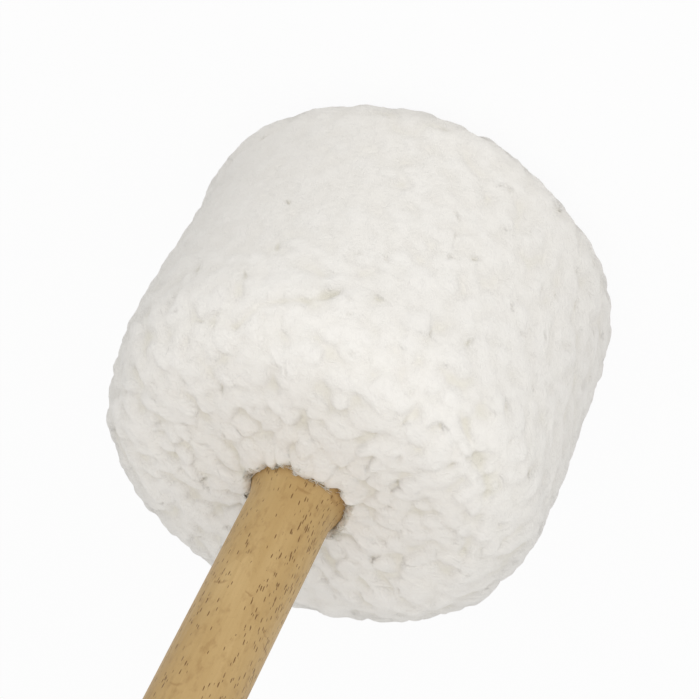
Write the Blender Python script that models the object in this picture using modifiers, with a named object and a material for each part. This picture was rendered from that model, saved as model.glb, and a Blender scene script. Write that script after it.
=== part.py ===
"""Singing bowl mallet: a turned beech handle screwed into a padded head with a sewn fleece cover.

Metres, +Z up. The mallet stands on the far face of its head with the handle straight up, and the origin
is the middle of that face. Every turned piece is drawn as an outline of (radius, height) points."""

import math

import bmesh
import bpy

OBJECT_NAME = "singing_bowl_mallet"

# Gap between neighbouring pieces
CLEARANCE = 0.0003

# Head, measured over the pile: a plain drum with rounded rims, whose wall and faces are slightly crowned
DRUM_RADIUS = 0.0480
DRUM_LENGTH = 0.0761
WALL_CROWN = 0.0010
FAR_CROWN = 0.0014
NEAR_CROWN = 0.0012
FAR_RIM_RADIUS = 0.0108
NEAR_RIM_RADIUS = 0.0137
RESTING_RADIUS = 0.0200

# Fleece cover, sewn from a strip and two end panels
FLEECE_THICKNESS = 0.0070
SEAM_ANGLE = math.radians(45)
SIDE_SEAM_ANGLE = math.radians(90)
NECK_ROUND = 0.0022
THREAD_RADIUS = 0.00035
STITCH_PITCH = 0.0062
STITCH_HALF_WIDTH = 0.0010
SIDE_NOTCH_DEPTH = 0.0016
SIDE_NOTCH_HALF_WIDTH = 0.0016

# Padding under the fleece
FELT_THICKNESS = 0.0027
FELT_TURNS = 2
FAR_PAD_THICKNESS = 0.0090
FAR_PAD_CHAMFER = 0.0050
NEAR_PAD_THICKNESS = 0.0090
NEAR_PAD_CHAMFER = 0.0070

# Drawstring in the hem of the neck
DRAWSTRING_RADIUS = 0.0009
KNOT_RADIUS = 0.0015
DRAWSTRING_RECESS = 0.0060

# Wooden core
CORE_RADIUS = 0.0200
CORE_CHAMFER = 0.0020

# Handle
MALLET_LENGTH = 0.2850
GRIP_RADIUS = 0.0090
BUTT_ROUND = 0.0040
FLARE_LENGTH = 0.0092
FLARE_SHOWING = 0.0065
COLLAR_RADIUS = 0.0122
TENON_RADIUS = 0.0060
TENON_CHAMFER = 0.0008

# Screw and washer that hold the tenon in the core
WASHER_RADIUS = 0.0110
WASHER_THICKNESS = 0.0016
CLAMPING_GAP = 0.0010
SCREW_RADIUS = 0.0021
SCREW_LENGTH = 0.0280
SCREW_POINT = 0.0045
SCREW_HEAD_RADIUS = 0.0042
SCREW_HEAD_HEIGHT = 0.0026
SCREW_HEAD_EDGE = 0.0012
SLOT_WIDTH = 0.0011
SLOT_DEPTH = 0.0012

# Facets round the turned pieces and the cord, and along a bent rim, the wall, a face and the flare
HEAD_SEGMENTS = 40
SMALL_SEGMENTS = 20
CORD_SEGMENTS = 8
RIM_STEPS = 4
WALL_STEPS = 6
FACE_STEPS = 3
FLARE_STEPS = 6
SHARP_ANGLE = math.radians(35)

# Heights of the plain drum's faces, and of the padding and core stacked between them
FAR_PLANE = FAR_CROWN
NEAR_PLANE = FAR_CROWN + DRUM_LENGTH
PAD_RADIUS = DRUM_RADIUS - FLEECE_THICKNESS - CLEARANCE
PAD_BOTTOM = FAR_PLANE + FLEECE_THICKNESS + CLEARANCE
PAD_TOP = NEAR_PLANE - FLEECE_THICKNESS - CLEARANCE
CORE_BOTTOM = PAD_BOTTOM + FAR_PAD_THICKNESS + CLEARANCE
CORE_TOP = PAD_TOP - NEAR_PAD_THICKNESS - CLEARANCE
FELT_PITCH = FELT_THICKNESS + CLEARANCE
WINDING_RADIUS = PAD_RADIUS - FELT_TURNS * FELT_PITCH - FELT_THICKNESS

# The screw's stack in the core's far recess: head, washer, clamping gap, end of the tenon
SCREW_BOTTOM = CORE_BOTTOM + CLEARANCE
WASHER_BOTTOM = SCREW_BOTTOM + SCREW_HEAD_HEIGHT + CLEARANCE
WASHER_TOP = WASHER_BOTTOM + WASHER_THICKNESS
RECESS_TOP = WASHER_TOP + CLEARANCE
TENON_BOTTOM = RECESS_TOP + CLAMPING_GAP
SHOULDER = CORE_TOP + CLEARANCE
FLARE_TOP = NEAR_PLANE + FLARE_SHOWING
PILOT_RADIUS = SCREW_RADIUS + CLEARANCE
PILOT_TOP = SCREW_BOTTOM + SCREW_HEAD_HEIGHT + SCREW_LENGTH - SCREW_POINT + CLEARANCE
PILOT_TIP = PILOT_TOP + SCREW_POINT + CLEARANCE


def clear_scene():
    """Removes what the scene held."""
    for found in list(bpy.data.objects):
        bpy.data.objects.remove(found)


def new_collection(name):
    """A collection linked to the scene."""
    made = bpy.data.collections.new(name)
    bpy.context.scene.collection.children.link(made)
    return made


def new_material(name, colour, roughness, metallic=0.0):
    """A Principled BSDF material."""
    made = bpy.data.materials.new(name)
    made.use_nodes = True
    shader = made.node_tree.nodes["Principled BSDF"]
    shader.inputs["Base Color"].default_value = (*colour, 1.0)
    shader.inputs["Roughness"].default_value = roughness
    shader.inputs["Metallic"].default_value = metallic
    return made


def new_object(name, data, collection, material=None):
    """An object in a collection, on the mallet's empty where it has a material."""
    made = bpy.data.objects.new(name, data)
    collection.objects.link(made)
    if material:
        made.parent = MALLET
        made.data.materials.append(material)
    return made


def hide_cutter(cutter):
    """Shows a cutter as a wire and keeps it out of the render."""
    cutter.hide_render = True
    cutter.display_type = "WIRE"
    return cutter


def combine(piece, other, operation):
    """Cuts or joins a piece with another mesh."""
    boolean = piece.modifiers.new(operation.title(), "BOOLEAN")
    boolean.operation = operation
    boolean.object = other
    boolean.solver = "EXACT"


def signed_area(outline):
    """Area inside an outline of (radius, height) points, positive where it runs anticlockwise."""
    following = outline[1:] + outline[:1]
    return sum(a[0] * b[1] - b[0] * a[1] for a, b in zip(outline, following)) / 2


def turned(name, outline, material, segments=HEAD_SEGMENTS):
    """A solid of revolution about Z. The outline closes on itself, or starts and ends on the axis."""
    if signed_area(outline) > 0:
        outline = outline[::-1]
    count = len(outline)
    on_axis = outline[0][0] == 0 and outline[-1][0] == 0
    edges = [(i, i + 1) for i in range(count - 1)]
    if not on_axis:
        edges.append((count - 1, 0))
    mesh = bpy.data.meshes.new(name)
    mesh.from_pydata([(radius, 0, height) for radius, height in outline], edges, [])
    piece = new_object(name, mesh, PARTS, material)
    screw = piece.modifiers.new("Turn", "SCREW")
    screw.axis = "Z"
    screw.steps = segments
    screw.render_steps = segments
    screw.use_merge_vertices = on_axis
    screw.merge_threshold = 0.00001
    return piece


def tube(name, points, radius, material, cyclic=False):
    """A round cord or thread through a list of points."""
    curve = bpy.data.curves.new(name, "CURVE")
    curve.dimensions = "3D"
    curve.bevel_depth = radius
    curve.bevel_resolution = 1
    curve.use_fill_caps = not cyclic
    spline = curve.splines.new("POLY")
    spline.points.add(len(points) - 1)
    for point, place in zip(spline.points, points):
        point.co = (*place, 1)
    spline.use_cyclic_u = cyclic
    return new_object(name, curve, PARTS, material)


def prism(name, outline, bottom, top):
    """A cutter: an outline of (x, y) points extruded from one height to another."""
    mesh = bpy.data.meshes.new(name)
    shape = bmesh.new()
    face = shape.faces.new([shape.verts.new((x, y, bottom)) for x, y in outline])
    extruded = bmesh.ops.extrude_face_region(shape, geom=[face])["geom"]
    lifted = [item for item in extruded if isinstance(item, bmesh.types.BMVert)]
    bmesh.ops.translate(shape, vec=(0, 0, top - bottom), verts=lifted)
    bmesh.ops.recalc_face_normals(shape, faces=shape.faces)
    shape.to_mesh(mesh)
    shape.free()
    return hide_cutter(new_object(name, mesh, CUTTERS))


def rim_point(near, depth, angle):
    """A point of a rounded rim, depth below the plain drum's surface. The angle runs from wall to face."""
    rim = NEAR_RIM_RADIUS if near else FAR_RIM_RADIUS
    side = 1 if near else -1
    middle = NEAR_PLANE - rim if near else FAR_PLANE + rim
    radius = rim - depth
    return DRUM_RADIUS - rim + radius * math.cos(angle), middle + side * radius * math.sin(angle)


def rim_arc(near, depth, panel):
    """The part of a rim that the wall or the face panel covers, running from the wall to the face."""
    rim = (NEAR_RIM_RADIUS if near else FAR_RIM_RADIUS) - depth
    seam_gap = math.asin(CLEARANCE / 2 / rim)
    start, end = (0, SEAM_ANGLE - seam_gap) if panel == "wall" else (SEAM_ANGLE + seam_gap, math.pi / 2)
    return [rim_point(near, depth, start + (end - start) * i / RIM_STEPS) for i in range(RIM_STEPS + 1)]


def crowned(point):
    """A point of the plain drum, moved out by the crowns of the wall and of the face nearest to it."""
    radius, height = point
    across = radius / DRUM_RADIUS
    along = 2 * (height - FAR_PLANE) / DRUM_LENGTH - 1
    face = NEAR_CROWN if along > 0 else -FAR_CROWN
    return radius + WALL_CROWN * (1 - along**2) * across, height + face * (1 - across**2)


def handle_radius(height):
    """Radius of the grip, its flare and its collar at a height above the shoulder."""
    flared = min(max((FLARE_TOP - height) / FLARE_LENGTH, 0), 1)
    return GRIP_RADIUS + (COLLAR_RADIUS - GRIP_RADIUS) * flared**2


def make_handle():
    """Beech handle: rounded butt, straight grip, flare, collar, and a tenon with a pilot hole."""
    outline = [(0, MALLET_LENGTH)]
    for i in range(RIM_STEPS + 1):
        turn = math.pi / 2 * i / RIM_STEPS
        inset = BUTT_ROUND * (1 - math.sin(turn))
        outline.append((GRIP_RADIUS - inset, MALLET_LENGTH - BUTT_ROUND * (1 - math.cos(turn))))
    for i in range(FLARE_STEPS + 1):
        height = FLARE_TOP - FLARE_LENGTH * i / FLARE_STEPS
        outline.append((handle_radius(height), height))
    outline += [
        (COLLAR_RADIUS, SHOULDER),
        (TENON_RADIUS, SHOULDER),
        (TENON_RADIUS, TENON_BOTTOM + TENON_CHAMFER),
        (TENON_RADIUS - TENON_CHAMFER, TENON_BOTTOM),
        (PILOT_RADIUS, TENON_BOTTOM),
        (PILOT_RADIUS, PILOT_TOP),
        (0, PILOT_TIP),
    ]
    turned("handle", outline, new_material("beech", (0.60, 0.41, 0.21), 0.45))


def make_core():
    """Wooden core with a bore for the tenon and a recess for the washer."""
    bore = TENON_RADIUS + CLEARANCE
    recess = WASHER_RADIUS + CLEARANCE
    outline = [
        (bore, CORE_TOP),
        (CORE_RADIUS - CORE_CHAMFER, CORE_TOP),
        (CORE_RADIUS, CORE_TOP - CORE_CHAMFER),
        (CORE_RADIUS, CORE_BOTTOM + CORE_CHAMFER),
        (CORE_RADIUS - CORE_CHAMFER, CORE_BOTTOM),
        (recess, CORE_BOTTOM),
        (recess, RECESS_TOP),
        (bore, RECESS_TOP),
    ]
    turned("core_block", outline, new_material("core_wood", (0.68, 0.52, 0.32), 0.6))


def make_washer():
    """Flat steel washer under the screw's head."""
    hole = SCREW_RADIUS + CLEARANCE
    outline = [
        (hole, WASHER_TOP),
        (WASHER_RADIUS, WASHER_TOP),
        (WASHER_RADIUS, WASHER_BOTTOM),
        (hole, WASHER_BOTTOM),
    ]
    steel = new_material("washer_steel", (0.62, 0.63, 0.64), 0.35, 1.0)
    turned("retaining_washer", outline, steel, SMALL_SEGMENTS)


def make_screw():
    """Pan-head wood screw, head down, with a slot."""
    seat = SCREW_BOTTOM + SCREW_HEAD_HEIGHT
    outline = [
        (0, seat + SCREW_LENGTH),
        (SCREW_RADIUS, seat + SCREW_LENGTH - SCREW_POINT),
        (SCREW_RADIUS, seat),
        (SCREW_HEAD_RADIUS, seat),
        (SCREW_HEAD_RADIUS, SCREW_BOTTOM + SCREW_HEAD_EDGE),
        (SCREW_HEAD_RADIUS - SCREW_HEAD_EDGE, SCREW_BOTTOM),
        (0, SCREW_BOTTOM),
    ]
    steel = new_material("screw_steel", (0.70, 0.66, 0.52), 0.3, 1.0)
    screw = turned("retaining_screw", outline, steel, SMALL_SEGMENTS)
    reach, half = 2 * SCREW_HEAD_RADIUS, SLOT_WIDTH / 2
    corners = [(-reach, -half), (reach, -half), (reach, half), (-reach, half)]
    slot = prism("screw_slot_cutter", corners, SCREW_BOTTOM - SLOT_DEPTH, SCREW_BOTTOM + SLOT_DEPTH)
    combine(screw, slot, "DIFFERENCE")


def make_foam():
    """Foam sleeve round the core, disc over its far end and ring over its near end."""
    foam = new_material("foam", (0.80, 0.76, 0.62), 0.95)
    inner, outer = CORE_RADIUS + CLEARANCE, WINDING_RADIUS - CLEARANCE
    sleeve = [(inner, CORE_TOP), (outer, CORE_TOP), (outer, CORE_BOTTOM), (inner, CORE_BOTTOM)]
    turned("foam_sleeve", sleeve, foam)

    pad_top = PAD_BOTTOM + FAR_PAD_THICKNESS
    far_pad = [
        (0, pad_top),
        (PAD_RADIUS, pad_top),
        (PAD_RADIUS, PAD_BOTTOM + FAR_PAD_CHAMFER),
        (PAD_RADIUS - FAR_PAD_CHAMFER, PAD_BOTTOM),
        (0, PAD_BOTTOM),
    ]
    turned("foam_far_pad", far_pad, foam)

    ring_bottom = PAD_TOP - NEAR_PAD_THICKNESS
    hole = COLLAR_RADIUS + CLEARANCE
    near_ring = [
        (hole + DRAWSTRING_RECESS, PAD_TOP),
        (PAD_RADIUS - NEAR_PAD_CHAMFER, PAD_TOP),
        (PAD_RADIUS, PAD_TOP - NEAR_PAD_CHAMFER),
        (PAD_RADIUS, ring_bottom),
        (hole, ring_bottom),
        (hole, PAD_TOP - DRAWSTRING_RECESS),
    ]
    turned("foam_near_ring", near_ring, foam)


def make_felt():
    """Felt strip wound round the foam sleeve: an upright spiral sheet, thickened outwards."""
    steps = FELT_TURNS * HEAD_SEGMENTS
    mesh = bpy.data.meshes.new("felt_winding")
    points = []
    for i in range(steps + 1):
        turn = 2 * math.pi * i / HEAD_SEGMENTS
        radius = WINDING_RADIUS + FELT_PITCH * i / HEAD_SEGMENTS
        x, y = radius * math.cos(turn), radius * math.sin(turn)
        points += [(x, y, CORE_BOTTOM), (x, y, CORE_TOP)]
    faces = [(2 * i, 2 * i + 2, 2 * i + 3, 2 * i + 1) for i in range(steps)]
    mesh.from_pydata(points, [], faces)
    felt = new_object("felt_winding", mesh, PARTS, new_material("felt", (0.72, 0.69, 0.62), 0.95))
    sheet = felt.modifiers.new("Thickness", "SOLIDIFY")
    sheet.thickness = FELT_THICKNESS
    sheet.offset = 1


def make_side_wall(fleece):
    """Fleece strip round the side. Its ends meet at the side seam, with a notch inside for the thread."""
    wall_top, wall_bottom = NEAR_PLANE - NEAR_RIM_RADIUS, FAR_PLANE + FAR_RIM_RADIUS
    wall = [(DRUM_RADIUS, wall_top + (wall_bottom - wall_top) * i / WALL_STEPS) for i in range(1, WALL_STEPS)]
    outside = rim_arc(True, 0, "wall")[::-1] + wall + rim_arc(False, 0, "wall")
    inside = rim_arc(False, FLEECE_THICKNESS, "wall")[::-1] + rim_arc(True, FLEECE_THICKNESS, "wall")
    piece = turned("fleece_side_wall", [crowned(point) for point in outside] + inside, fleece)

    bare = DRUM_RADIUS - FLEECE_THICKNESS
    inside_end, outside_end = bare - FLEECE_THICKNESS, DRUM_RADIUS + FLEECE_THICKNESS
    slit, notch, notch_end = CLEARANCE / 2, SIDE_NOTCH_HALF_WIDTH, bare + SIDE_NOTCH_DEPTH
    right = [(inside_end, notch), (bare, notch), (notch_end, slit), (outside_end, slit)]
    shape = [(x, -y) for x, y in right] + right[::-1]
    cutter = prism("side_seam_cutter", shape, 0, MALLET_LENGTH)
    cutter.rotation_euler.z = SIDE_SEAM_ANGLE
    combine(piece, cutter, "DIFFERENCE")


def make_far_cap(fleece):
    """Fleece disc over the far face, flat in the middle where the mallet rests."""
    outside = [crowned(point) for point in rim_arc(False, 0, "face")]
    start = DRUM_RADIUS - FAR_RIM_RADIUS
    for i in range(1, FACE_STEPS):
        outside.append(crowned((start + (RESTING_RADIUS - start) * i / FACE_STEPS, FAR_PLANE)))
    outside += [(RESTING_RADIUS, 0), (0, 0)]
    inside = rim_arc(False, FLEECE_THICKNESS, "face")
    turned("fleece_far_cap", [(0, FAR_PLANE + FLEECE_THICKNESS)] + inside[::-1] + outside, fleece)


def make_near_cap(fleece):
    """Fleece ring over the near face, curling down to the flare of the handle at the neck."""
    top = NEAR_PLANE - NECK_ROUND
    lip = handle_radius(top) + CLEARANCE
    lip_top = crowned((lip + NECK_ROUND, NEAR_PLANE))[1]
    neck = []
    for i in range(RIM_STEPS + 1):
        turn = math.pi / 2 * i / RIM_STEPS
        rise = (lip_top - top) * math.sin(turn)
        neck.append((lip + NECK_ROUND * (1 - math.cos(turn)), top + rise))
    start, end = lip + NECK_ROUND, DRUM_RADIUS - NEAR_RIM_RADIUS
    face = [crowned((start + (end - start) * i / FACE_STEPS, NEAR_PLANE)) for i in range(1, FACE_STEPS)]
    outside = [crowned(point) for point in rim_arc(True, 0, "face")[::-1]]
    inside = rim_arc(True, FLEECE_THICKNESS, "face")
    bottom = NEAR_PLANE - FLEECE_THICKNESS
    collar_top = FLARE_TOP - FLARE_LENGTH
    hole = [(COLLAR_RADIUS + CLEARANCE, bottom), (COLLAR_RADIUS + CLEARANCE, collar_top)]
    turned("fleece_near_cap", neck + face + outside + inside + hole, fleece)


def make_rim_thread(name, near, thread):
    """Zigzag stitches just inside the fleece, round the seam of one rim."""
    depth = FLEECE_THICKNESS + CLEARANCE + THREAD_RADIUS
    rim = (NEAR_RIM_RADIUS if near else FAR_RIM_RADIUS) - depth
    sway = STITCH_HALF_WIDTH / rim
    around = 2 * math.pi * rim_point(near, depth, SEAM_ANGLE)[0]
    points = 2 * round(around / STITCH_PITCH)
    route = []
    for i in range(points):
        turn = 2 * math.pi * i / points
        radius, height = rim_point(near, depth, SEAM_ANGLE + (sway if i % 2 else -sway))
        route.append((radius * math.cos(turn), radius * math.sin(turn), height))
    tube(name, route, THREAD_RADIUS, thread, cyclic=True)


def make_side_thread(thread):
    """Zigzag stitches down the notch of the side seam."""
    bottom, top = FAR_PLANE + FAR_RIM_RADIUS, NEAR_PLANE - NEAR_RIM_RADIUS
    radius = DRUM_RADIUS - FLEECE_THICKNESS + THREAD_RADIUS
    sway = SIDE_NOTCH_HALF_WIDTH / 2 - THREAD_RADIUS
    stitches = 2 * round((top - bottom) / STITCH_PITCH)
    route = []
    for i in range(stitches + 1):
        route.append((radius, sway if i % 2 else -sway, bottom + (top - bottom) * i / stitches))
    piece = tube("side_seam_thread", route, THREAD_RADIUS, thread)
    piece.rotation_euler.z = SIDE_SEAM_ANGLE


def make_drawstring():
    """Cord tied round the collar under the hem of the near cap, with its knot."""
    radius = COLLAR_RADIUS + CLEARANCE + DRAWSTRING_RADIUS
    height = PAD_TOP - DRAWSTRING_RADIUS
    bpy.ops.mesh.primitive_torus_add(
        major_radius=radius,
        minor_radius=DRAWSTRING_RADIUS,
        major_segments=HEAD_SEGMENTS,
        minor_segments=CORD_SEGMENTS,
    )
    ring = bpy.context.object
    mesh = ring.data
    bpy.data.objects.remove(ring)
    cotton = new_material("drawstring_cotton", (0.78, 0.76, 0.70), 0.9)
    cord = new_object("neck_drawstring", mesh, PARTS, cotton)
    cord.location.z = height

    shape = bmesh.new()
    bmesh.ops.create_uvsphere(shape, u_segments=CORD_SEGMENTS, v_segments=CORD_SEGMENTS, radius=KNOT_RADIUS)
    knot_mesh = bpy.data.meshes.new("knot")
    shape.to_mesh(knot_mesh)
    shape.free()
    knot = hide_cutter(new_object("knot_joiner", knot_mesh, CUTTERS))
    knot.location = (COLLAR_RADIUS + CLEARANCE + KNOT_RADIUS, 0, PAD_TOP - KNOT_RADIUS)
    combine(cord, knot, "UNION")


def smooth_turned_pieces():
    """Smooth shading with sharp edges kept."""
    for piece in PARTS.objects:
        if piece.type == "MESH":
            piece.data.shade_smooth()
            piece.data.set_sharp_from_angle(angle=SHARP_ANGLE)


clear_scene()
PARTS = new_collection(OBJECT_NAME)
CUTTERS = new_collection("cutters")
MALLET = bpy.data.objects.new("mallet", None)
PARTS.objects.link(MALLET)

make_handle()
make_core()
make_washer()
make_screw()
make_foam()
make_felt()

FLEECE = new_material("fleece", (0.80, 0.78, 0.74), 0.95)
make_side_wall(FLEECE)
make_far_cap(FLEECE)
make_near_cap(FLEECE)

THREAD = new_material("thread", (0.84, 0.82, 0.77), 0.8)
make_rim_thread("near_seam_thread", True, THREAD)
make_rim_thread("far_seam_thread", False, THREAD)
make_side_thread(THREAD)
make_drawstring()
smooth_turned_pieces()
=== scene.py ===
"""Looks of the singing bowl mallet: a fleece head of thousands of small tufts on a turned beech handle.

Metres, +Z up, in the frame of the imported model: the head stands on the floor and the handle points up. A
point of the head's cover is given by its turn (angle round Z) and its run (length along the cover, from the
hem in the neck over the near face, the near rim, the wall and the far rim to the middle of the far face)."""

import math

import bpy
import numpy as np
from mathutils import Matrix, Vector, kdtree, noise


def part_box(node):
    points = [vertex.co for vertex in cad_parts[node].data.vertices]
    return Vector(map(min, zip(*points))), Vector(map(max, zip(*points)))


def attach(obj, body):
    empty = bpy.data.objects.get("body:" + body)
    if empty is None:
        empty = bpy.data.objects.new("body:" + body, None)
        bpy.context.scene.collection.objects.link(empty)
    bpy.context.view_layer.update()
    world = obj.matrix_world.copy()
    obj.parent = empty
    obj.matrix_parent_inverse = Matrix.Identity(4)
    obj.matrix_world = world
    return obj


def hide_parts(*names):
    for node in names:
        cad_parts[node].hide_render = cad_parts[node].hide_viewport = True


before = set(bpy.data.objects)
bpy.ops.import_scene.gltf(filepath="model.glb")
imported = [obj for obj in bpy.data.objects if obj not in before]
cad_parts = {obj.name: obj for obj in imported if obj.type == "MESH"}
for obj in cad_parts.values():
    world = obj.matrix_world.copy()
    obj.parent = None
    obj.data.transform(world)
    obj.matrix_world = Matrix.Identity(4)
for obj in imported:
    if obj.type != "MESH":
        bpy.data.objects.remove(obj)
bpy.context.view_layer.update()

# Photograph: its width and focal length in pixels, how far the handle points out of the picture towards the
# camera, the way the handle runs in the picture (clockwise from the right), and where the camera sees the
# middle of the head's near face, in drum radii to the right, down and away
PHOTO_WIDTH = 700
FOCAL_PIXELS = 2397.8
HANDLE_TOWARDS_CAMERA = math.radians(40.43)
HANDLE_IN_PICTURE = math.radians(117.14)
NEAR_FACE_SEEN_AT = (-0.2232, 0.6252, 10.3485)

# Camera: width of its sensor in millimetres, and the nearest and farthest that it sees
SENSOR_WIDTH = 36
CLIP_START = 0.01
CLIP_END = 50

# Drum of the head, as in the CAD
WALL_CROWN = 0.0010
FAR_CROWN = 0.0014
NEAR_CROWN = 0.0012
FAR_RIM_RADIUS = 0.0108
NEAR_RIM_RADIUS = 0.0137
RESTING_RADIUS = 0.0200
DRUM_LENGTH = 0.0761
DRUM_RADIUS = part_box("fleece_side_wall")[1][0] - WALL_CROWN
FAR_PLANE = FAR_CROWN
NEAR_PLANE = FAR_PLANE + DRUM_LENGTH
SEAM_ANGLE = math.radians(45)
SIDE_SEAM_TURN = math.radians(90)
FLEECE_THICKNESS = 0.0070
NECK_ROUND = 0.0010

# Points along the pieces of the cover's outline, and the step that its direction is measured over
QUARTER_POINTS = 41
HEM_POINTS = 12
NEAR_FACE_POINTS = 30
WALL_POINTS = 60
FAR_FACE_POINTS = 40
OUTLINE_STEP = 0.0002

# Handle, as in the CAD
GRIP_RADIUS = 0.0090
COLLAR_RADIUS = 0.0122
FLARE_TOP = 0.0840
FLARE_LENGTH = 0.0092
WOOD_GAP = 0.0001

# Neck of the fleece, with a hem tucked down beside the handle. It presses on the flare, is a little ragged
# and gapes in one place, given by its turn and reach in degrees and its width. The edge is given by turns in
# degrees, each with the millimetres that the fleece rises there, or sinks where they are negative
HEM_DEPTH = 0.0050
HEM_GAP = 3 * WOOD_GAP
NECK_RAGGED = 0.0001
RAGGED_WAVES = (9, 23)
NECK_PRESS = 0.0006
NECK_ROOT = 0.0030
NECK_SPREAD = 0.0060
NECK_MOUND_SPREAD = 0.0120
NECK_GAPE = (212, 18, 0.0010)
NECK_EDGE = [
    (0, 1.8), (90, 1.0), (180, 1.0), (196, 0.9), (207, 0.0), (218, -0.6), (230, -0.3), (242, 0.9),
    (262, 1.8), (272, 2.2), (284, 0.9), (300, 1.2), (315, 1.9), (335, 1.6),
]

# Fleece mesh: spacing of its points along the run, columns round it, rows of the backing
PILE_SPACING = 0.00050
PILE_COLUMNS = 600
BACKING_ROWS = 8

# Sway of the rim seams, and its waves: how many go round the head, and the phase and share of each
SEAM_SWAY = 0.00035
SWAY_WAVES = [(7, 0, 1), (17, 1, 0.7), (31, 2, 0.5)]

# Cover under the pile, puffed up by a cloth simulation
COVER_COLUMNS = 72
COVER_SPACING = 0.0030
COVER_PRESSURE = 4.0
COVER_FRAMES = 20
COVER_QUALITY = 6
COVER_PUFF = 0.0009
COVER_WAVES = 0.0011
COVER_WAVE_SIZE = 0.022
SEAM_HOLD = 0.6

# Tufts of the pile, in two sizes, and the partings at the tips of some of them. Up to the run PETALS_TO they
# lie over each other like petals, and past LUMPS_FROM they are soft lumps. A tuft reaches its full height at
# TUFT_FULL of the way in from its edge, and each is moved on by TUFT_SHIFT in the noise of the fibres
PILE_SEED = 11
PILE_JITTER = 0.45
PILE_VARIATION = 0.30
TUFTS = {"pitch": 0.0042, "half_length": 0.0036, "half_width": 0.0028, "height": 0.0015, "blend": 0.00025}
CURLS = {"pitch": 0.0021, "half_length": 0.0017, "half_width": 0.0013, "height": 0.00040, "blend": 0.00009}
TUFT_TAPER = 0.30
TUFT_FULL = 0.9
TUFT_SHIFT = 0.37
PETAL_TILT, LUMP_TILT = 0.40, 0.15
PETAL_LEAN, LUMP_LEAN = 0.30, 0.20
PETALS_TO, LUMPS_FROM = 0.016, 0.030
SOFTENING = 5
PETAL_CRISPNESS = 0.4
PETAL_PLAINNESS = 0.5
PETAL_TURN, LUMP_TURN = math.radians(30), math.radians(90)
FLOW_TURN = math.radians(25)
FLOW_SIZE = 0.016
WARP_SHIFT = 0.0010
WARP_SIZE = 0.0035
PARTING_SHARE = 0.15
PARTING_HALF_LENGTH = 0.0011
PARTING_HALF_WIDTH = 0.0004
PARTING_DEPTH = 0.0007
PILE_DEPTH = 0.0012
PILE_MIDDLE = 0.6
PILE_SOFTNESS = 0.72
CLUMP_HEIGHT = 0.00022
CLUMP_SIZE = 0.0045
FLUFF_HEIGHT = 0.00012
FLUFF_SIZE = 0.0012

# Which noise each unevenness has, and the three noises that shift the tufts along X, Y and Z
NOISE_SEEDS = {"cover": 3, "fluff": 4, "flow": 5, "fine_fluff": 6, "grooves": 8, "clumps": 9}
WARP_SEEDS = (21, 22, 23)

# Wisps: locks of loose fibres, rooted in a band round the neck, that lie over the wood and curl
WISP_COUNT = 200
WISP_FIBRES = 6
WISP_STATIONS = 5
WISP_BAND = (0.0006, 0.0030)
WISP_LENGTH = 0.0019
WISP_SHORTEST = 0.4
WISP_RADIUS = 0.00006
WISP_TAPER = 0.8
WISP_SLANT = 1.3
WISP_LIFT = 0.35
WISP_CURL = 1.5
WISP_SPREAD = 0.5

# A length that only guards against rounding and against dividing by nothing
TINY = 1e-12


def clamp(value, low, high):
    """A value, or an array of them, kept between two limits."""
    return np.minimum(np.maximum(value, low), high)


def smoothstep(low, high, value):
    """0 below the low limit, 1 above the high one, and a soft step between."""
    part = clamp((value - low) / (high - low), 0, 1)
    return part * part * (3 - 2 * part)


def handle_radius(height):
    """Radius of the grip and its flare at a height above the collar."""
    flared = clamp((FLARE_TOP - height) / FLARE_LENGTH, 0, 1)
    return GRIP_RADIUS + (COLLAR_RADIUS - GRIP_RADIUS) * flared**2


# The camera


def make_camera():
    """Camera at the photograph's viewing angle, with its focal length."""
    out, roll = HANDLE_TOWARDS_CAMERA, HANDLE_IN_PICTURE
    right = Vector((-math.sin(roll), math.sin(out) * math.cos(roll), math.cos(out) * math.cos(roll)))
    down = Vector((math.cos(roll), math.sin(out) * math.sin(roll), math.cos(out) * math.sin(roll)))
    forward = Vector((0, math.cos(out), -math.sin(out)))
    to_right, to_below, away = NEAR_FACE_SEEN_AT
    middle = Vector((0, 0, NEAR_PLANE))
    place = middle - DRUM_RADIUS * (to_right * right + to_below * down + away * forward)
    data = bpy.data.cameras.new("camera")
    data.sensor_width = SENSOR_WIDTH
    data.lens = FOCAL_PIXELS / PHOTO_WIDTH * data.sensor_width
    data.clip_start = CLIP_START
    data.clip_end = CLIP_END
    camera = bpy.data.objects.new("camera", data)
    bpy.context.scene.collection.objects.link(camera)
    turn = Matrix((right, -down, -forward)).transposed()
    camera.matrix_world = Matrix.Translation(place) @ turn.to_4x4()
    bpy.context.scene.camera = camera


# Shader nodes


def add(tree, kind, inputs=None, **settings):
    """A node. Each input is a value, or a socket that is linked to it."""
    made = tree.nodes.new(kind)
    for name, value in settings.items():
        setattr(made, name, value)
    for name, value in (inputs or {}).items():
        if isinstance(value, bpy.types.NodeSocket):
            tree.links.new(value, made.inputs[name])
        else:
            made.inputs[name].default_value = value
    return made


def maths(tree, operation, *values):
    """Output of a Math node."""
    inputs = dict(enumerate(values))
    return add(tree, "ShaderNodeMath", inputs, operation=operation).outputs[0]


def spread(tree, value, low, high, to_low=0.0, to_high=1.0):
    """A value mapped from one range to another, and kept in it."""
    inputs = {"Value": value, "From Min": low, "From Max": high, "To Min": to_low, "To Max": to_high}
    return add(tree, "ShaderNodeMapRange", inputs).outputs["Result"]


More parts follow.
